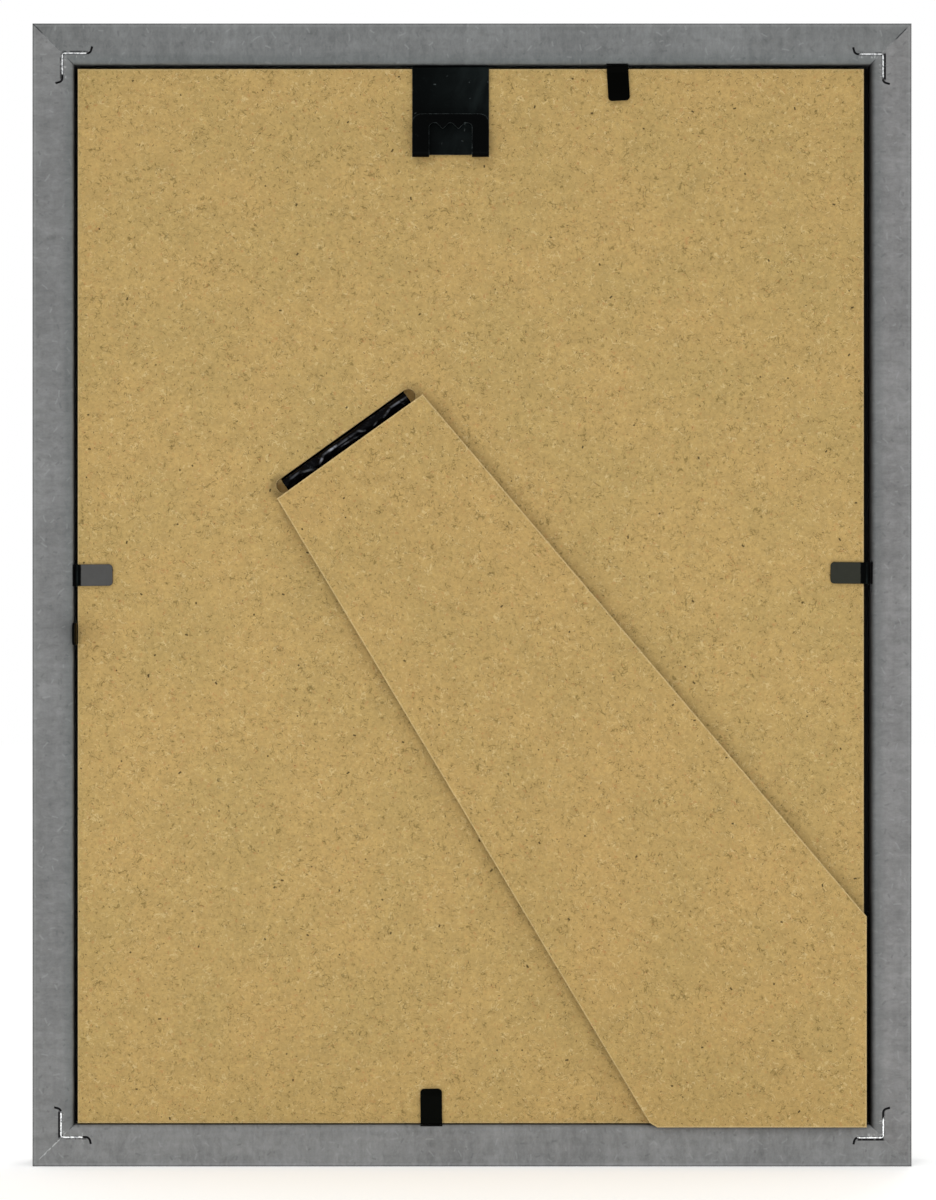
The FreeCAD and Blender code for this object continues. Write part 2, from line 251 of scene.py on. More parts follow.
hingeStrip = {
    "foot": Vector((27.93, 6.5, 164.75)) * mm,   # middle of the leg's top edge on the board
    "turnDeg": 35.6,
    "width": 34.55,
    "thickness": 0.34,
    "columns": 190,
    # along the strip: how far the roll's crest lies from the leg, and how high it stands
    "crest": [
        (-17.3, 1.55, 1.05), (-14.5, 1.75, 1.20), (-12.3, 1.70, 1.25), (-10.6, 1.20, 1.05),
        (-7.0, 1.25, 0.85), (-4.3, 1.70, 1.05), (-1.0, 1.90, 1.20), (3.1, 2.00, 1.30),
        (6.0, 1.95, 1.30), (7.4, 1.45, 1.15), (8.3, 1.00, 0.95), (10.5, 1.10, 0.95),
        (12.5, 1.85, 1.15), (15.5, 2.05, 1.20), (17.3, 1.90, 1.00),
    ],
    # the profile's (out, away) points before and after the roll, the slot's far wall and how
    # much the band waves along it, and the steps between the points
    "behindBoard": [(-2.8, 19.4), (-2.8, 11.0), (-2.8, 4.6), (-2.72, 3.25), (-2.0, 2.66)],
    "underLeg": [(0.66, 0.62), (0.44, 0.18), (0.4, -0.8), (0.4, -6.0), (0.4, -18.0)],
    "farWall": 2.62,
    "wave": 0.10,
    "steps": (2, 3, 3, 4, 3, 4, 6, 5, 5, 5, 4, 3, 3, 2),
    # small rumples: their pace along and away, a seed and their height
    "rumples": [(0.9, 1.6, 7.7, 0.09), (2.2, 3.4, 2.3, 0.04)],
    # creases: from (along, away), to (along, away), height, half width, how strong the painted
    # highlight on the ridge is
    "creases": [
        ((15.6, 1.9), (12.6, 2.0), 0.16, 0.24, 0.15),
        ((12.6, 1.7), (9.8, 0.7), 0.20, 0.24, 0.22),
        ((8.0, 0.8), (6.0, 1.9), 0.26, 0.24, 0.50),
        ((6.2, 2.0), (2.4, 1.95), 0.24, 0.24, 1.0),
        ((2.4, 1.85), (-3.6, 1.8), 0.20, 0.20, 0.20),
        ((4.0, 1.0), (1.0, 1.3), -0.22, 0.26, 0.0),
        ((1.6, 1.3), (-3.0, 0.9), 0.16, 0.20, 0.30),
        ((-0.6, 0.6), (-4.6, 1.2), -0.20, 0.24, 0.0),
        ((-3.4, 1.9), (-5.0, 1.0), 0.14, 0.22, 0.35),
        ((-7.2, 0.8), (-8.4, 1.1), 0.10, 0.20, 0.25),
        ((-10.2, 1.0), (-12.8, 1.8), 0.24, 0.22, 0.30),
        ((-12.6, 1.85), (-17.2, 1.7), 0.20, 0.20, 0.32),
        ((-13.5, 1.0), (-16.5, 0.8), -0.18, 0.24, 0.0),
        ((14.5, 0.9), (16.8, 0.8), -0.16, 0.22, 0.0),
    ],
    "creaseShare": 0.75,    # how much of its height a crease lifts the band
    "glintNarrower": 1.7,     # how much narrower the painted highlight line is than the crease
    "coat": tone(3, 3, 5),
    "paintedGlint": tone(176, 180, 190),
}


# Raw fibreboard, for the backboard and the leg

fibreboard = {
    "board": tone(181, 153, 97),
    "leg": tone(177, 148, 93),
    "warm": tone(184, 153, 95),
    "cool": tone(179, 153, 95),
    "darkFibre": tone(96, 80, 34),
    "lightFibre": tone(218, 196, 144),
    # pale arrises: rubbed wear, with a painted highlight
    "arris": tone(232, 212, 164),
    "speck": tone(66, 50, 24),
    "redFibre": tone(178, 118, 72),
    "cutEdge": tone(116, 94, 58),
    # painted light: the hinge slot's walls are made paler than the other cut edges
    "litSlotEdge": tone(214, 182, 122),
    # sizes of the mottling's blotches
    "broad": 22.0,
    "middle": 4.0,
    "fine": 0.8,
    # curled fibres: size, width, seed, cover, how strongly they colour, and the colour
    "curls": {
        "light": (2.2, 0.030, 1, 0.50, 0.44, "lightFibre"),
        "lightSmall": (1.1, 0.045, 2, 0.52, 0.24, "lightFibre"),
        "dark": (2.1, 0.034, 3, 0.50, 0.54, "darkFibre"),
        "darkSmall": (1.1, 0.060, 4, 0.54, 0.42, "darkFibre"),
        "red": (1.3, 0.080, 5, 0.60, 0.45, "redFibre"),
    },
    # specks: cell, length, width, share of the cells, seed, bend, and how strongly they colour
    "specks": [
        (2.6, 0.34, 0.16, 0.36, 6, 2.0, 0.62),
        (11.0, 0.48, 0.27, 0.36, 7, 2.0, 0.90),
    ],
    "edgeWearAndHighlight": 0.7,
    "wearAndHighlightRadius": 0.6,
    # the hinge slot: its ends, its sides with their softness, how much less its rim is worn and
    # highlighted, where the painted shade of a hollow at an end lies, its outer and inner radius,
    # and how dark it is right and left
    "slotEnds": (20.0, 19.6),
    "slotSides": (-0.4, 4.0, 0.3),
    "slotWearAndHighlight": -0.6,
    "hollowAt": (18.2, 1.7),
    "hollowRadius": (3.7, 1.9),
    "hollowShade": (0.22, 0.40),
}


def fibres(tree, point, cell, length, width, share, seed, bend):
    # straight to slightly curved fibres, each in its own cell and at its own angle
    shortest, core, taper = 0.35, 0.35, 0.35
    moved = vectorMaths(tree, "ADD", point, (seed * 17.3, seed * 9.1, 0.0))
    spread = stretched(tree, moved, (1 / cell, 1 / cell, 0.0))
    cells = tree.nodes.new("ShaderNodeTexVoronoi")
    cells.voronoi_dimensions = "2D"
    cells.inputs["Scale"].default_value = 1.0
    tree.links.new(spread, cells.inputs["Vector"])
    local = vectorMaths(tree, "SUBTRACT", spread, cells.outputs["Position"])
    draws = tree.nodes.new("ShaderNodeSeparateColor")
    tree.links.new(cells.outputs["Color"], draws.inputs[0])
    turn, size, choice = draws.outputs
    turned = tree.nodes.new("ShaderNodeVectorRotate")
    turned.rotation_type = "Z_AXIS"
    tree.links.new(local, turned.inputs["Vector"])
    plug(tree, turned.inputs["Angle"], maths(tree, "MULTIPLY", turn, math.tau))
    along, beside, up = parts(tree, turned.outputs["Vector"])
    bow = product(tree, along, along, bend)
    beside = maths(tree, "ABSOLUTE", maths(tree, "ADD", beside, bow))
    along = maths(tree, "ABSOLUTE", along)
    reach = between(tree, size, 0.0, 1.0, shortest * length / cell, length / cell, smooth=False)
    onLength = maths(tree, "SUBTRACT", 1.0, maths(tree, "DIVIDE", along, reach), clamp=True)
    onWidth = between(tree, beside, width / cell, core * width / cell)
    chosen = maths(tree, "GREATER_THAN", choice, 1.0 - share)
    return product(tree, between(tree, onLength, 0.0, taper), onWidth, chosen)


def curls(tree, point, size, width, seed, cover):
    # thin wandering fibres, broken up so that only part of them lies on the face
    spot = vectorMaths(tree, "ADD", point, (seed * 31.7, seed * 12.9, seed * 5.3))
    wander = cloud(tree, spot, size, 1.0, 0.5, 1.4)
    ridge = maths(tree, "ABSOLUTE", maths(tree, "SUBTRACT", wander, 0.5))
    broken = cloud(tree, spot, size * 0.9, 2.0, 0.6)
    return product(
        tree, between(tree, ridge, width, width * 0.2),
        between(tree, broken, cover, cover + 0.08))


def slotPlace(tree):
    # the point as seen from the hinge slot: along it, and away from the leg
    foot = hingeStrip["foot"] / mm
    turn = math.radians(hingeStrip["turnDeg"])
    x, y, z = parts(tree, placeOn(tree))
    x = maths(tree, "SUBTRACT", x, foot.x)
    z = maths(tree, "SUBTRACT", z, foot.z)
    along = summed(tree, maths(tree, "MULTIPLY", x, math.cos(turn)), (z, -math.sin(turn)))
    away = summed(tree, maths(tree, "MULTIPLY", x, math.sin(turn)), (z, math.cos(turn)))
    return along, away


def slotMarks(tree):
    # 1 in the punched slot, and how dark the painted shade of a hollow round its ends is
    f = fibreboard
    along, away = slotPlace(tree)
    reach = maths(tree, "ABSOLUTE", along)
    inSlot = product(
        tree, between(tree, reach, *f["slotEnds"]), band(tree, away, *f["slotSides"]))
    squares = []
    for value, middle in zip((reach, away), f["hollowAt"]):
        squares.append(maths(tree, "POWER", maths(tree, "SUBTRACT", value, middle), 2.0))
    gap = maths(tree, "SQRT", maths(tree, "ADD", *squares))
    depth = between(tree, along, -1.0, 1.0, *f["hollowShade"])
    return inSlot, product(tree, between(tree, gap, *f["hollowRadius"]), depth)


def fibreboardFinish(name, base, turn, shift, slotted):
    f = fibreboard
    material, tree, shader = newFinish(name, specular=0.18)
    point = placeOn(tree, turn, shift)
    x, y, z = parts(tree, point)
    flat = pointAt(tree, x, z)
    # broad, middle and fine mottling
    broad = between(tree, cloud(tree, flat, f["broad"]), 0.3, 0.7)
    middle = cloud(tree, flat, f["middle"], 3.0, 0.6, 0.4)
    fine = cloud(tree, flat, f["fine"], 4.0, 0.65, 0.6)
    colour = blended(tree, broad, f["cool"], f["warm"])
    colour = blended(tree, 0.45, colour, base)
    colour = brightened(tree, colour, summed(tree, 0.81, (broad, 0.04), (middle, 0.34)))
    colour = brightened(tree, colour, summed(tree, 0.67, (fine, 0.66)))
    # pressed fibres, light ones first
    pressed = {}
    for fibre, (size, width, seed, cover, share, shown) in f["curls"].items():
        pressed[fibre] = curls(tree, flat, size, width, seed, cover)
        colour = blended(tree, product(tree, pressed[fibre], share), colour, f[shown])
    for *shape, share in f["specks"]:
        colour = blended(tree, product(tree, fibres(tree, flat, *shape), share), colour, f["speck"])
    # cut edges are darker and layered; their arrises are pale, partly rubbed wear and partly a
    # painted highlight
    onFace = onBroadFace(tree)
    layers = cloud(tree, stretched(tree, point, (0.6, 5.0, 0.6)), 1.0, 3.0, 0.6)
    edge, wearAndHighlightShare = f["cutEdge"], f["edgeWearAndHighlight"]
    if slotted:
        # the punched slot's walls are painted paler, a painted light, and painted shade darkens the
        # face round its ends
        inSlot, hollowShadeShare = slotMarks(tree)
        edge = blended(tree, inSlot, edge, f["litSlotEdge"])
        colour = brightened(tree, colour, opposite(tree, hollowShadeShare))
        wearAndHighlightShare = summed(tree, wearAndHighlightShare, (inSlot, f["slotWearAndHighlight"]))
    cut = brightened(tree, edge, summed(tree, 0.75, (layers, 0.5)))
    colour = blended(tree, onFace, cut, colour)
    edgeWearAndHighlight = product(tree, sharpEdges(tree, f["wearAndHighlightRadius"]), wearAndHighlightShare)
    colour = blended(tree, edgeWearAndHighlight, colour, f["arris"])
    height = summed(
        tree, 0.0, (fine, 0.7), (middle, 0.3), (pressed["light"], 0.25), (pressed["dark"], -0.25))
    surface(tree, shader, colour, summed(tree, 0.72, (fine, 0.16)), height, 0.06, 0.5)
    return material


boardFinish = fibreboardFinish("rawFibreboard", fibreboard["board"], 0.0, (0, 0, 0), True)
legFinish = fibreboardFinish("legFibreboard", fibreboard["leg"], 0.7, (310, 0, 140), False)
dress("backboard", boardFinish)
dress("easel_leg", legFinish)
print("fibreboard done")


# Grey coated moulding

moulding = {
    "height": 261.6,
    "halfWidth": 100.6,
    # painted light: each rail's grey is lighter or darker by how the light falls on that side
    "tonesWithPaintedLight": {
        "left": tone(121, 122, 122),
        "top": tone(118, 120, 120),
        "right": tone(127, 127, 127),
        "bottom": tone(127, 128, 128),
    },
    "seeds": {"left": 3.0, "top": 41.0, "right": 77.0, "bottom": 113.0},
    # layers of the coat, from broad tone, long bands down the rail and cross marks from planing
    # to fine grain: stretch along, inward and in depth, then size, detail, roughness, distortion
    "layers": {
        "broad": (None, 16.0, 2.0, 0.5, 0.0),
        "bands": ((0.03, 0.55, 0.55), 1.0, 2.0, 0.6, 0.0),
        "marks": ((0.55, 0.09, 0.09), 1.0, 2.0, 0.6, 0.0),
        "mottle": (None, 2.4, 3.0, 0.6, 0.8),
        "dabs": ((1.0, 0.45, 0.45), 0.95, 2.0, 0.55, 1.0),
        "grain": (None, 0.4, 2.0, 0.6, 0.0),
    },
    # how bright the coat is where all layers are 0, and how much each adds
    "darkest": -0.17,
    "shares": {
        "broad": 0.50, "bands": 0.24, "marks": 0.40, "mottle": 0.54, "dabs": 0.44, "grain": 0.22,
    },
    # how much each layer and mark lifts or sinks the face
    "heights": {
        "bands": 0.6, "marks": 0.5, "mottle": 0.5, "dabs": 0.3, "burr": 0.8, "line": -1.6,
        "pressed": -1.2,
    },
    # specks and scuffs: cell, length, width, share of the cells, seed, bend, strength, colour
    "specks": [
        (3.6, 0.8, 0.30, 0.42, 6, 0.2, 0.42, tone(92, 94, 94)),
        (3.2, 1.2, 0.26, 0.40, 7, 0.3, 0.30, tone(158, 160, 160)),
    ],
    # painted shade that darkens the coat towards the rebate, from the outer face inwards:
    # a gentle shade from, to and its share, then the painted black shade of the rounded edge from
    # and to
    "rebateShade": {
        "left": (6.2, 8.7, 0.32, 9.0, 9.6),
        "top": (5.5, 8.7, 0.32, 9.1, 9.6),
        "right": (5.8, 8.0, 0.352, 7.9, 9.6),
        "bottom": (8.4, 9.3, 0.16, 9.35, 9.65),
    },
    # the mitres: dark line from this far in to that, its share, the share of the hairline
    # outside the nail, of the pale burr, and where the inner dark part starts
    "mitres": {
        "top_left": (-0.5, 2.4, 0.85, 0.60, 0.45, 7.9),
        "top_right": (1.1, 3.6, 0.95, 0.25, 0.35, 8.3),
        "bottom_left": (-0.5, 0.5, 0.30, 0.0, 1.0, 8.5),
        "bottom_right": (-0.5, 0.5, 0.20, 0.16, 0.2, 8.7),
    },
    # how far from the mitre each part of its line fades out, and where it is full
    "strongLine": (0.30, 0.08),
    "hairline": (0.12, 0.03),
    "innerLine": (0.20, 0.05),
    "innerShare": 0.6,
    "frontShare": 0.5,
    # where marks show, by depth: all but the front face, and the back face only
    "offFront": (-7.9, -7.2),
    "atBack": (6.8, 7.6),
    # painted black shade, for the rebate's rounded inner edge and the gaps beside the V-nails
    "shadeBlack": tone(12, 11, 14),
    "shaded": tone(84, 92, 92),
    "seam": tone(44, 46, 48),
    "burr": tone(178, 180, 180),
}

# Pressed V-nails. Setbacks say how far the arms lie from the side and from the end, brightTo
# where each arm's bright part ends, and gaps how dark the painted shade in the gap beside each
# arm is.
vNails = {
    "corners": {
        "top_left": {
            "side": 1, "setbacks": (6.85, 6.85), "brightTo": (11.4, 12.5), "gaps": (0.55, 0.60),
        },
        "top_right": {
            "side": -1, "setbacks": (6.55, 7.05), "brightTo": (12.5, 11.7), "gaps": (0.95, 0.35),
        },
        "bottom_left": {
            "side": 1, "setbacks": (6.55, 6.72), "brightTo": (12.4, 11.6), "gaps": (0.90, 0.45),
        },
        "bottom_right": {
            "side": -1, "setbacks": (6.5, 6.62), "brightTo": (11.0, 12.2), "gaps": (0.30, 1.0),
        },
    },
    "arm": 6.4,
    "halfThick": 0.21,
    "gap": 0.50,
    "tornShare": 0.55,
    "bright": tone(226, 228, 229),
    "dull": tone(150, 152, 154),
    # painted shade for the nails' sunk, curled ends
    "sunkShade": tone(30, 30, 32),
}


def mitreMarks(tree, end, inward, offMitre, away, layers):
    # a dark line from the outer corner, thinner inwards, with pale burr beside it
    m = moulding
    first, depth, dark, fine, bright, innerAt = m["mitres"][end]
    strong = product(
        tree, band(tree, inward, first, depth, 0.4), between(tree, away, *m["strongLine"]), dark)
    thin = product(
        tree, between(tree, away, *m["hairline"]), between(tree, inward, 6.6, 6.0),
        between(tree, layers["mottle"], 0.35, 0.6, 0.4, 1.0), fine)
    inner = product(
        tree, between(tree, inward, innerAt - 0.4, innerAt + 0.4),
        between(tree, away, *m["innerLine"]), m["innerShare"])
    line = maths(tree, "MAXIMUM", maths(tree, "MAXIMUM", strong, thin), inner)
    burr = product(
        tree, band(tree, offMitre, -0.18, 0.2, 0.06), between(tree, layers["dabs"], 0.46, 0.58),
        band(tree, inward, 1.6, 8.0, 0.4), bright)
    return line, burr


def nailMarks(tree, end, upright, inward, other, dabs):
    # the pressed gap on the outer side of the nail's arm, painted dark as shade, and torn coat
    # on its inner side
    nail = vNails["corners"][end]
    sideAt, endAt = nail["setbacks"]
    armAt, armStart = (sideAt, endAt) if upright else (endAt, sideAt)
    dark = nail["gaps"][0 if upright else 1]
    onArm = band(tree, other, armStart - 0.2, armStart + vNails["arm"] - 0.5, 0.3)
    outside = armAt - vNails["halfThick"]
    wide = vNails["gap"] * (0.4 + 0.6 * dark)
    gap = product(
        tree, band(tree, inward, outside - wide, outside + 0.1, 0.06), onArm,
        min(1.0, dark * 1.3), between(tree, dabs, 0.62 - 0.4 * dark, 0.68 - 0.3 * dark))
    torn = product(
        tree, band(tree, inward, armAt + 0.2, armAt + 0.9, 0.15), onArm,
        between(tree, dabs, 0.56, 0.66), vNails["tornShare"])
    return gap, torn


def mouldingFinish(rail):
    m = moulding
    material, tree, shader = newFinish("greyMoulding_" + rail, specular=0.2)
    x, y, z = parts(tree, placeOn(tree))
    # along runs down the rail, inward is how far the point lies from the outer face, and other
    # how far it lies from the nearer end
    upright = rail in ("left", "right")
    if upright:
        side = 1.0 if rail == "left" else -1.0
        along = z
        inward = maths(tree, "SUBTRACT", m["halfWidth"], product(tree, x, side))
        other = maths(tree, "MINIMUM", z, maths(tree, "SUBTRACT", m["height"], z))
        atFirst = maths(tree, "GREATER_THAN", z, m["height"] / 2)
        ends = ("top_" + rail, "bottom_" + rail)
    else:
        along = x
        inward = z if rail == "bottom" else maths(tree, "SUBTRACT", m["height"], z)
        other = maths(tree, "SUBTRACT", m["halfWidth"], maths(tree, "ABSOLUTE", x))
        atFirst = maths(tree, "GREATER_THAN", x, 0.0)
        ends = (rail + "_left", rail + "_right")
    seed = m["seeds"][rail]
    moved = maths(tree, "ADD", along, seed * 10)
    sheet = pointAt(tree, moved, maths(tree, "ADD", inward, seed), y)
    layers = {}
    for name, (stretch, *look) in m["layers"].items():
        layers[name] = cloud(tree, stretched(tree, sheet, stretch) if stretch else sheet, *look)
    added = [(layers[name], share) for name, share in m["shares"].items()]
    colour = brightened(tree, m["tonesWithPaintedLight"][rail], summed(tree, m["darkest"], *added))
    flat = pointAt(tree, moved, inward)
    for *shape, strength, shown in m["specks"]:
        colour = blended(tree, product(tree, fibres(tree, flat, *shape), strength), colour, shown)
    # painted shade darkens the coat towards the rebate and paints its rounded inner edge black
    low, high, share, edgeLow, edgeHigh = m["rebateShade"][rail]
    offFront = between(tree, y, *m["offFront"])
    gentle = product(tree, between(tree, inward, low, high), share, offFront)
    colour = blended(tree, gentle, colour, m["shaded"])
    fade = cloud(tree, stretched(tree, sheet, (0.25, 1.0, 1.0)), 1.0)
    start = summed(tree, maths(tree, "SUBTRACT", inward, 0.15), (fade, 0.3))
    blackShade = product(tree, between(tree, start, edgeLow, edgeHigh), offFront)
    colour = blended(tree, blackShade, colour, m["shadeBlack"])
    # marks at the two ends; the mitre itself wanders a little
    offMitre = maths(tree, "SUBTRACT", inward, other)
    wander = maths(tree, "SUBTRACT", layers["dabs"], 0.5)
    away = maths(tree, "ABSOLUTE", summed(tree, offMitre, (wander, 0.35)))
    line = burr = pressed = 0.0
    for end, mask in zip(ends, (atFirst, opposite(tree, atFirst))):
        endLine, endBurr = mitreMarks(tree, end, inward, offMitre, away, layers)
        gap, torn = nailMarks(tree, end, upright, inward, other, layers["dabs"])
        line = summed(tree, line, (endLine, mask))
        burr = summed(tree, burr, (endBurr, mask))
        burr = maths(tree, "MAXIMUM", burr, product(tree, torn, mask))
        pressed = maths(tree, "MAXIMUM", pressed, product(tree, gap, mask))
    atBack = between(tree, y, *m["atBack"])
    line, burr, pressed = (product(tree, mark, atBack) for mark in (line, burr, pressed))
    hairline = product(
        tree, between(tree, away, *m["hairline"]), opposite(tree, atBack), m["frontShare"])
    line = maths(tree, "MAXIMUM", line, hairline)
    colour = blended(tree, burr, colour, m["burr"])
    colour = blended(tree, line, colour, m["seam"])
    # painted shade in the pressed gaps beside the nails
    colour = blended(tree, pressed, colour, m["shadeBlack"])
    # painted shade darkens the rounded outer edge, with a paler line beside it
    outerEdgeShade = product(tree, between(tree, inward, 0.34, 0.12), 0.42)
    colour = blended(tree, outerEdgeShade, colour, m["seam"])
    beside = product(tree, band(tree, inward, 0.45, 0.7, 0.12), 0.16)
    colour = blended(tree, beside, colour, m["burr"])
    lifts = dict(layers, burr=burr, line=line, pressed=pressed)
    height = summed(tree, 0.0, *((lifts[name], share) for name, share in m["heights"].items()))
    rough = summed(tree, 0.58, (layers["mottle"], 0.18))
    surface(tree, shader, colour, rough, height, 0.06, 0.6)
    return material


for rail in moulding["tonesWithPaintedLight"]:
    dress("rail_" + rail, mouldingFinish(rail))
print("moulding done")


def vNailFinish(corner):
    nail = vNails["corners"][corner]
    material, tree, shader = newFinish("vNailSteel_" + corner, metallic=0.85)
    point = placeOn(tree)
    x, y, z = parts(tree, point)
    inX = maths(tree, "SUBTRACT", moulding["halfWidth"], product(tree, x, float(nail["side"])))
    inZ = maths(tree, "SUBTRACT", moulding["height"], z) if corner.startswith("top") else z
    scuff = cloud(tree, point, 0.8, 3.0, 0.6)
    # the pressed arms are rubbed bright, and the curled ends, sunk in the coat, are painted dark as
    # shade
    shine = 0.0
    arms = zip((inZ, inX), (inX, inZ), nail["setbacks"], nail["brightTo"])
    for reach, across, setback, far in arms:
        ragged = summed(tree, maths(tree, "SUBTRACT", reach, 0.7), (scuff, 1.4))
        offLine = summed(tree, maths(tree, "SUBTRACT", across, setback + 0.09), (scuff, 0.24))
        onArm = between(tree, maths(tree, "ABSOLUTE", offLine), 0.20, 0.13)
        bright = product(tree, between(tree, ragged, far + 0.3, far - 0.3), onArm)
        shine = maths(tree, "MAXIMUM", shine, bright)
    streaks = cloud(tree, stretched(tree, point, (1.0, 0.2, 1.0)), 0.5)
    metal = blended(tree, between(tree, streaks, 0.36, 0.52), vNails["dull"], vNails["bright"])
    colour = blended(tree, shine, vNails["sunkShade"], metal)
    rough = summed(tree, between(tree, shine, 0.0, 1.0, 0.75, 0.32), (scuff, 0.15))
    surface(tree, shader, colour, rough, scuff, 0.03, 0.5)
    return material


for corner in vNails["corners"]:
    dress("v_nail_" + corner, vNailFinish(corner))
print("v-nails done")


# Black sheet steel: the hanger and the tabs

blackSteel = {
    "lacquer": tone(3, 4, 4),       # the raised flap
    "plate": tone(4, 6, 6),
    "smudgeAndSheen": tone(26, 32, 32),
    "nick": tone(70, 76, 76),
    # pale edges: worn lacquer, with a painted highlight along them
    "edge": tone(84, 92, 92),
    "rim": tone(22, 22, 20),
    # the flap lies behind the first depth, the plate in front of the second
    "plateDepth": (7.6, 7.3),
    # smudges grow from the plate's left side to its right, which also paints light on its right
    # part
    "smudgeAndLightAcross": (13.6, -3.8),
    "wearAndHighlightRadius": 0.2,
    "rimRadius": 0.22,
    # a painted highlight shows the tabs' fold as a band this far from the outer face
    "fold": (10.05, 10.35, 0.1),
    # colour, with each tab's reflection painted in (grey on the left and right, near black on the
    # top and bottom), then the dark painted reflection of the root up to this far from the outer
    # face
    "tabs": {
        "top": (tone(2, 2, 1), 9.0),
        "bottom": (tone(5, 6, 4), 9.0),
        "left": (tone(81, 81, 80), 11.05),
        "right": (tone(51, 52, 46), 11.6),
        "spare": (tone(3, 3, 3), 9.0),
        "shank": (tone(8, 8, 8), 9.0),
    },
}


def hangerFinish():
    b = blackSteel
    material, tree, shader = newFinish("hangerLacquer", specular=0.02)
    point = placeOn(tree, 0.4, (52, 11, 9))
    x, y, z = parts(tree, placeOn(tree))
    smear = cloud(tree, stretched(tree, point, (1.0, 1.0, 0.6)), 5.5, 3.0, 0.6, 0.8)
    finer = cloud(tree, point, 1.3, 4.0, 0.65, 1.0)
    onPlate = between(tree, y, *b["plateDepth"])
    # smudges, partly real and partly painted light that brightens the plate towards its right
    smudgeAndSheen = product(
        tree, between(tree, smear, 0.30, 0.70, 0.25, 1.0), between(tree, x, *b["smudgeAndLightAcross"]))
    smudgeAndSheen = maths(
        tree, "MULTIPLY_ADD", between(tree, finer, 0.56, 0.75), 0.30, smudgeAndSheen, clamp=True)
    smudgeAndSheen = product(tree, smudgeAndSheen, onPlate)
    colour = blended(tree, onPlate, b["lacquer"], b["plate"])
    colour = blended(tree, product(tree, smudgeAndSheen, 0.75), colour, b["smudgeAndSheen"])
    nicks = product(
        tree, fibres(tree, pointAt(tree, x, z), 2.1, 0.45, 0.16, 0.26, 8, 0.3),
        between(tree, finer, 0.45, 0.6), between(tree, onPlate, 0.0, 1.0, 0.3, 0.8))
    colour = blended(tree, nicks, colour, b["nick"])
    # pale edges: worn lacquer, with a painted highlight along them
    edgeWearAndHighlight = product(
        tree, sharpEdges(tree, b["wearAndHighlightRadius"]), between(tree, finer, 0.40, 0.62, 0.12, 0.85))
    colour = blended(tree, edgeWearAndHighlight, colour, b["edge"])
    rough = summed(tree, 0.24, (smudgeAndSheen, 0.28), (finer, 0.10))
    height = summed(tree, 0.0, (smear, 0.8), (finer, 0.25), (nicks, -0.4))
    surface(tree, shader, colour, rough, height, 0.08, 0.6)
    return material


def tabFinish(name, shift):
    b = blackSteel
    base, rootEnd = b["tabs"][name]
    material, tree, shader = newFinish("blackTab_" + name, specular=0.015)
    point = placeOn(tree, 0.2, shift)
    x, y, z = parts(tree, placeOn(tree))
    brushed = cloud(tree, point, 2.4, 3.0, 0.6, 0.4)
    finer = cloud(tree, point, 0.5, 3.0, 0.6)
    colour = brightened(tree, base, summed(tree, 0.83, (brushed, 0.24), (finer, 0.10)))
    # painted dark at the root where it bends, as a painted reflection, with a painted highlight at
    # the fold, and black along the sheared rims
    inward = maths(tree, "SUBTRACT", moulding["halfWidth"], maths(tree, "ABSOLUTE", x))
    ragged = summed(tree, maths(tree, "SUBTRACT", inward, 0.15), (finer, 0.3))
    paintedRootReflection = between(tree, ragged, rootEnd + 0.12, rootEnd - 0.12)
    fold = product(
        tree, band(tree, inward, *b["fold"]), between(tree, brushed, 0.4, 0.6, 0.2, 0.8))
    colour = blended(tree, paintedRootReflection, colour, blended(tree, fold, b["lacquer"], b["smudgeAndSheen"]))
    rim = product(
        tree, sharpEdges(tree, b["rimRadius"]), between(tree, finer, 0.3, 0.6, 0.35, 0.9))
    colour = blended(tree, rim, colour, b["rim"])
    rough = summed(tree, 0.36, (brushed, 0.22))
    surface(tree, shader, colour, rough, summed(tree, brushed, (finer, 0.2)), 0.05, 0.5)
    return material


dress("hanger_clip", hangerFinish())
shankFinish = tabFinish("shank", (90, 0, 31))
for number, tab in enumerate(("top", "bottom", "left", "right", "spare")):
    dress("tab_tongue_" + tab, tabFinish(tab, (number * 13.0, 0, 7)))
    dress("tab_shank_" + tab, shankFinish)
print("hanger and tabs done")


# Glass and insert card

glass = {
    "refraction": 1.5,
    "edge": tone(150, 190, 172),
    "clear": tone(253, 254, 253),
    "lets": tone(252, 253, 252),    # what it lets through to the card behind it
    "haze": 30.0,
    "dust": 3.0,
    "groundEdge": 0.35,
}

card = {
    "gap": 0.05,        # behind the glass, since two faces in one plane would hide the card
    "corner": 0.6,
    "paper": (tone(226, 223, 214), tone(233, 231, 224)),
    "brown": (tone(238, 200, 126), tone(250, 218, 152)),
    "pulp": 1.2,
    "broad": 45.0,
}


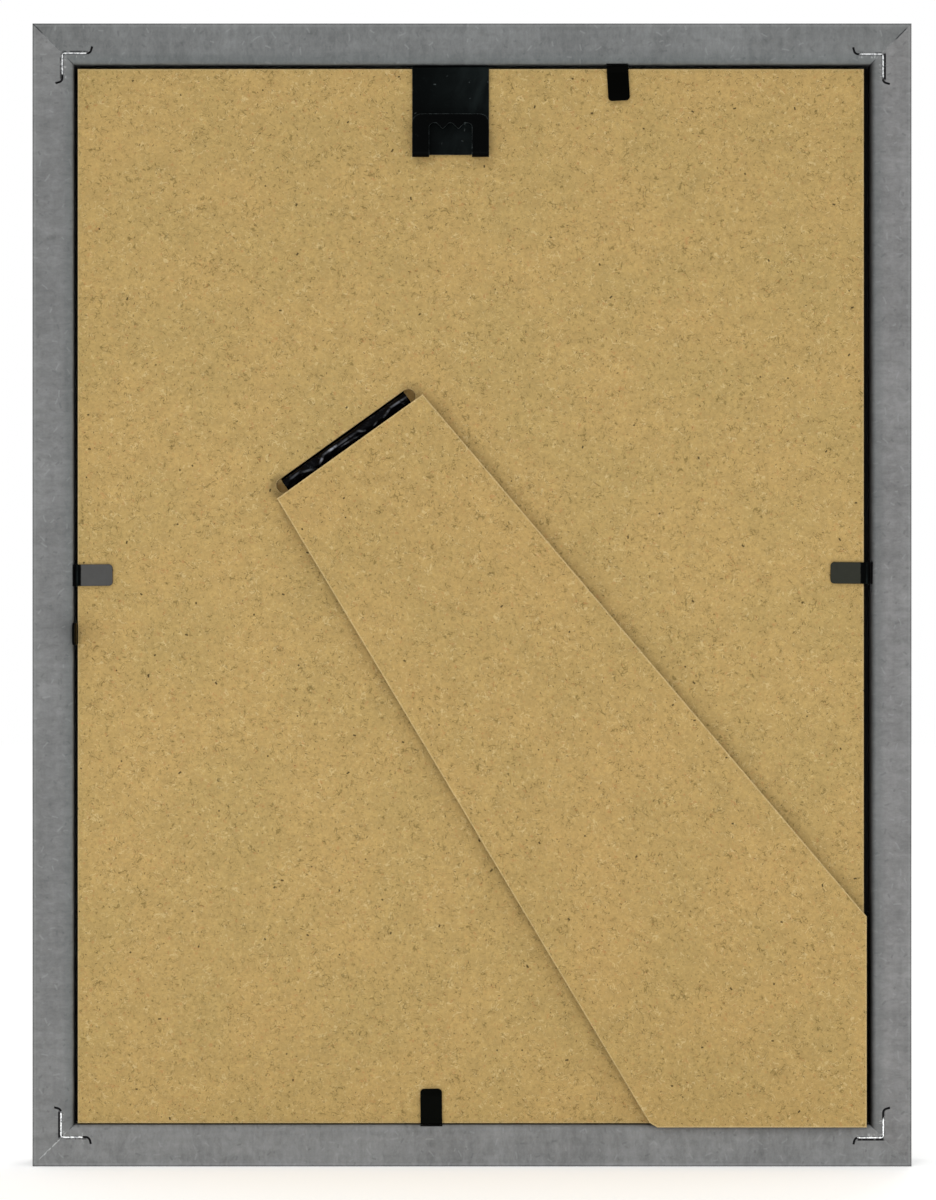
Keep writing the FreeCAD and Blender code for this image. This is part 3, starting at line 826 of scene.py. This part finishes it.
def glassFinish():
    material, tree, shader = newFinish("clearGlass")
    shader.inputs["Transmission Weight"].default_value = 1.0
    shader.inputs["IOR"].default_value = glass["refraction"]
    point = placeOn(tree)
    onFace = onBroadFace(tree)
    haze = cloud(tree, point, glass["haze"], 3.0, 0.6)
    colour = blended(tree, onFace, glass["edge"], glass["clear"])
    # faint dust and wiping marks, and ground edges
    dust = cloud(tree, stretched(tree, point, (1.0, 1.0, 0.25)), glass["dust"], 4.0, 0.7)
    hazy = between(tree, haze, 0.5, 0.8, 0.0, 0.05)
    dusty = between(tree, dust, 0.6, 0.8, 0.0, 0.04)
    ground = between(tree, onFace, 0.0, 1.0, glass["groundEdge"], 0.0)
    rough = maths(tree, "ADD", maths(tree, "ADD", hazy, dusty), ground)
    surface(tree, shader, colour, rough, dust, 0.004, 0.3)
    # lets the light reach the card behind it
    clear = tree.nodes.new("ShaderNodeBsdfTransparent")
    clear.inputs["Color"].default_value = glass["lets"]
    path = tree.nodes.new("ShaderNodeLightPath")
    mix = tree.nodes.new("ShaderNodeMixShader")
    passing = maths(
        tree, "MAXIMUM", path.outputs["Is Shadow Ray"], path.outputs["Is Diffuse Ray"])
    tree.links.new(passing, mix.inputs[0])
    tree.links.new(shader.outputs[0], mix.inputs[1])
    tree.links.new(clear.outputs[0], mix.inputs[2])
    tree.links.new(mix.outputs[0], tree.nodes["Material Output"].inputs["Surface"])
    return material


def cardFinish():
    # off-white on the picture side, raw brown card on the back
    material, tree, shader = newFinish("insertCard", specular=0.15)
    point = placeOn(tree, 0.3, (5, 0, 3))
    pulp = cloud(tree, point, card["pulp"], 4.0, 0.65, 0.5)
    paper = blended(tree, cloud(tree, point, card["broad"]), *card["paper"])
    brown = blended(tree, between(tree, pulp, 0.35, 0.65), *card["brown"])
    colour = blended(tree, between(tree, backwards(tree), 0.2, 0.6), paper, brown)
    colour = brightened(tree, colour, summed(tree, 0.975, (pulp, 0.05)))
    surface(tree, shader, colour, summed(tree, 0.78, (pulp, 0.1)), pulp, 0.02, 0.4)
    return material


def makeInsert():
    # the same card, its front a hair behind the glass and its corners a little blunted
    low, high = (Vector(corner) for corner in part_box("picture_insert"))
    low.y += card["gap"] * mm
    build = bmesh.new()
    bmesh.ops.create_cube(build, size=1.0)
    for corner in build.verts:
        corner.co = [(a + b) / 2 + (b - a) * share for a, b, share in zip(low, high, corner.co)]
    through = [edge for edge in build.edges
               if abs(edge.verts[0].co.y - edge.verts[1].co.y) > 0.1 * mm]
    bmesh.ops.bevel(
        build, geom=through, offset=card["corner"] * mm, segments=4, profile=0.5, affect="EDGES")
    return newPiece("insert_sheet", build)


dress("glass_pane", glassFinish())
insertSheet = makeInsert()
insertSheet.data.materials.append(cardFinish())
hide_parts("picture_insert")
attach(insertSheet, "frame")
print("glass and card done")


def alongHinge(x, y, z):
    # a point given in the strip's own axes
    turn = math.radians(hingeStrip["turnDeg"])
    foot = hingeStrip["foot"]
    x, y, z = x * mm, y * mm, z * mm
    return Vector((
        foot.x + x * math.cos(turn) + z * math.sin(turn),
        foot.y + y,
        foot.z - x * math.sin(turn) + z * math.cos(turn),
    ))


def smoothly(knots, x):
    # follows the knots, easing from each to the next
    for before, after in zip(knots, knots[1:]):
        if x <= after[0]:
            share = max(0.0, (x - before[0]) / (after[0] - before[0]))
            share = share * share * (3 - 2 * share)
            return [a + (b - a) * share for a, b in zip(before[1:], after[1:])]
    return list(knots[-1][1:])


def throughPoints(knots, steps):
    # smooth line through flat points, with the given steps in each run
    line = []
    for i, count in enumerate(steps):
        p0 = knots[max(i - 1, 0)]
        p1, p2 = knots[i], knots[i + 1]
        p3 = knots[min(i + 2, len(knots) - 1)]
        for k in range(count):
            t = k / count
            line.append(tuple(
                0.5 * (2 * b + (c - a) * t + (2 * a - 5 * b + 4 * c - d) * t * t
                       + (3 * b - a - 3 * c + d) * t ** 3)
                for a, b, c, d in zip(p0, p1, p2, p3)
            ))
    line.append(knots[-1])
    return line


def bandProfile(x):
    # flat (out, away) points from the end behind the board to the end under the leg
    h = hingeStrip
    away, height = smoothly(h["crest"], x)
    wall = h["farWall"] + h["wave"] * noise.noise(Vector((x * 0.35, 4.1, 0.7)))
    roll = [
        (-0.9, wall), (0.1, wall), (height * 0.72, min(away + 0.48, 2.6)), (height, away),
        (height * 0.80, away * 0.62),
    ]
    return throughPoints(h["behindBoard"] + roll + h["underLeg"], h["steps"])


def crease(x, away):
    # how far the creases lift the band here, and how strong its painted highlight is
    lift = 0.0
    glintShare = 0.0
    for (x1, z1), (x2, z2), height, half, shine in hingeStrip["creases"]:
        dx, dz = x2 - x1, z2 - z1
        share = ((x - x1) * dx + (away - z1) * dz) / (dx * dx + dz * dz)
        near = min(1.0, max(0.0, share))
        gap = math.hypot(x - x1 - near * dx, away - z1 - near * dz)
        # lower towards both ends, but not quite nothing there
        taper = math.sin(math.pi * (0.12 + 0.76 * near))
        lift += height * taper * math.exp(-(gap / half) ** 2)
        glintShare = max(glintShare, shine * taper * math.exp(-(gap / half * hingeStrip["glintNarrower"]) ** 2))
    return lift, glintShare


def bandRows():
    # the band's middle line in each column, and how strong its painted highlight is at each point
    h = hingeStrip
    rows, glintShares = [], []
    for i in range(h["columns"] + 1):
        x = (i / h["columns"] - 0.5) * h["width"]
        line = []
        for out, away in bandProfile(x):
            # rumpled only where the roll shows
            shown = min(1.0, max(0.0, (out + 0.6) / 0.8)) * min(1.0, max(0.0, (away - 0.1) / 0.35))
            rough = sum(
                noise.noise(Vector((x * paceX, away * paceAway, seed))) * tall
                for paceX, paceAway, seed, tall in h["rumples"])
            lift, glintShare = crease(x, away)
            line.append(Vector((x, out + shown * (lift * h["creaseShare"] + rough), away)))
            glintShares += [glintShare * shown, 0.0]   # the band's outer face, then its inner face
        rows.append(line)
    return rows, glintShares


def makeBand():
    h = hingeStrip
    rows, glintShares = bandRows()
    build = bmesh.new()
    upper, lower = [], []
    last = len(rows[0]) - 1
    for i, line in enumerate(rows):
        before, after = rows[max(i - 1, 0)], rows[min(i + 1, h["columns"])]
        tops, unders = [], []
        for j, spot in enumerate(line):
            down = line[min(j + 1, last)] - line[max(j - 1, 0)]
            level = (after[j] - before[j]).cross(down).normalized() * (h["thickness"] / 2)
            tops.append(build.verts.new(alongHinge(*(spot + level))))
            unders.append(build.verts.new(alongHinge(*(spot - level))))
        upper.append(tops)
        lower.append(unders)
    for i in range(h["columns"]):
        for j in range(last):
            build.faces.new((upper[i][j], upper[i][j + 1], upper[i + 1][j + 1], upper[i + 1][j]))
            build.faces.new((lower[i][j], lower[i + 1][j], lower[i + 1][j + 1], lower[i][j + 1]))
        for j in (0, last):
            build.faces.new((upper[i][j], upper[i + 1][j], lower[i + 1][j], lower[i][j]))
    for i in (0, h["columns"]):
        for j in range(last):
            build.faces.new((upper[i][j], upper[i][j + 1], lower[i][j + 1], lower[i][j]))
    bmesh.ops.recalc_face_normals(build, faces=build.faces)
    for face in build.faces:
        face.smooth = True
    piece = newPiece("hinge_band", build)
    piece.data.attributes.new("glintShare", "FLOAT", "POINT").data.foreach_set("value", glintShares)
    return piece


def bandFinish():
    h = hingeStrip
    material, tree, shader = newFinish("creasedCoatedBand", specular=0.03)
    point = placeOn(tree, math.radians(h["turnDeg"]))
    creases = cloud(tree, stretched(tree, point, (0.35, 1.0, 1.0)), 1.6, 3.0, 0.55, 0.8)
    weave = cloud(tree, point, 0.3)
    # painted highlights along the creases' ridges, and a few pale scuffs
    paintedGlint = tree.nodes.new("ShaderNodeAttribute")
    paintedGlint.attribute_name = "glintShare"
    wearAndHighlightShare = product(tree, paintedGlint.outputs["Fac"], between(tree, creases, 0.36, 0.56, 0.15, 1.0))
    scuffs = product(
        tree, between(tree, creases, 0.54, 0.70), between(tree, weave, 0.4, 0.6), 0.05)
    colour = blended(tree, maths(tree, "MAXIMUM", wearAndHighlightShare, scuffs), h["coat"], h["paintedGlint"])
    rough = summed(tree, 0.12, (creases, 0.25))
    surface(tree, shader, colour, rough, summed(tree, creases, (weave, 0.08)), 0.14, 0.8)
    return material


hingeBand = makeBand()
hingeBand.data.materials.append(bandFinish())
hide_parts("hinge_strip_anchor", "hinge_strip_leaf")
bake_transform(hingeBand)
print("hinge strip done")


# Stage, light and camera, in metres

stage = {
    "floorSize": 6.0,
    "floor": tone(250, 250, 249),
    "floorRoughness": 0.9,
    "floorBlotch": 300.0,       # in millimetres
    "floorLift": 0.28,          # brings the lit floor up to the white behind it
    "whiteBackground": 1.0,
    "skyLight": 0.755,
    "cameraDistance": 1.0298,
    "cameraX": 0.000915,
    "cameraZ": 0.12964,
    "backPlane": 0.008,
    "lens": 135.0,
    "sensor": 36.0,
    # where each lamp is, what it points at, its size and its power
    "lamps": {
        "softbox": ((0.375, 1.275, 1.5), (0.0, 0.0, 0.15), (0.42, 0.42), 4.3),
        "bounceCard": ((0.0, 0.32, 0.015), (0.0, 0.0, 0.06), (0.5, 0.02), 0.26),
        "frontSoftbox": ((-0.375, -1.275, 1.5), (0.0, 0.0, 0.15), (0.42, 0.42), 5.0),
    },
}


def seenDirectly(tree):
    # 1 for the camera's own rays, and for those that gloss and glass send on
    path = tree.nodes.new("ShaderNodeLightPath")
    seen = maths(tree, "MAXIMUM", path.outputs["Is Camera Ray"], path.outputs["Is Glossy Ray"])
    return maths(tree, "MAXIMUM", seen, path.outputs["Is Transmission Ray"])


def layFloor():
    build = bmesh.new()
    bmesh.ops.create_grid(build, x_segments=8, y_segments=8, size=stage["floorSize"] / 2)
    floor = newPiece("floor", build)
    material, tree, shader = newFinish("paleFloor", specular=0.1)
    shader.inputs["Roughness"].default_value = stage["floorRoughness"]
    shade = cloud(tree, placeOn(tree), stage["floorBlotch"])
    colour = brightened(tree, stage["floor"], summed(tree, 0.99, (shade, 0.01)))
    tree.links.new(colour, shader.inputs["Base Color"])
    shader.inputs["Emission Color"].default_value = (1, 1, 1, 1)
    lift = product(tree, seenDirectly(tree), stage["floorLift"])
    tree.links.new(lift, shader.inputs["Emission Strength"])
    floor.data.materials.append(material)


def lightWorld():
    world = bpy.data.worlds.new("studioLight")
    bpy.context.scene.world = world
    world.use_nodes = True
    tree = world.node_tree
    tree.nodes.clear()
    out = tree.nodes.new("ShaderNodeOutputWorld")
    mix = tree.nodes.new("ShaderNodeMixShader")
    tree.links.new(seenDirectly(tree), mix.inputs[0])
    for number, strength in enumerate((stage["skyLight"], stage["whiteBackground"]), start=1):
        sky = tree.nodes.new("ShaderNodeBackground")
        sky.inputs["Color"].default_value = (1, 1, 1, 1)
        sky.inputs["Strength"].default_value = strength
        tree.links.new(sky.outputs[0], mix.inputs[number])
    tree.links.new(mix.outputs[0], out.inputs["Surface"])


def addLamp(name):
    place, aim, size, power = stage["lamps"][name]
    data = bpy.data.lights.new(name, "AREA")
    data.shape = "RECTANGLE"
    data.size, data.size_y = size
    data.energy = power
    lamp = bpy.data.objects.new(name, data)
    bpy.context.scene.collection.objects.link(lamp)
    lamp.location = place
    way = Vector(aim) - Vector(place)
    lamp.rotation_euler = way.to_track_quat("-Z", "Y").to_euler()
    lamp.visible_camera = False


def addCamera():
    data = bpy.data.cameras.new("camera")
    data.lens = stage["lens"]
    data.sensor_width = stage["sensor"]
    camera = bpy.data.objects.new("camera", data)
    bpy.context.scene.collection.objects.link(camera)
    camera.location = (
        stage["cameraX"], stage["backPlane"] + stage["cameraDistance"], stage["cameraZ"])
    camera.rotation_euler = (math.radians(90), 0, math.radians(180))
    bpy.context.scene.camera = camera


layFloor()
lightWorld()
for lampName in stage["lamps"]:
    addLamp(lampName)
addCamera()
view = bpy.context.scene.view_settings
view.view_transform = "Standard"
print("stage done")
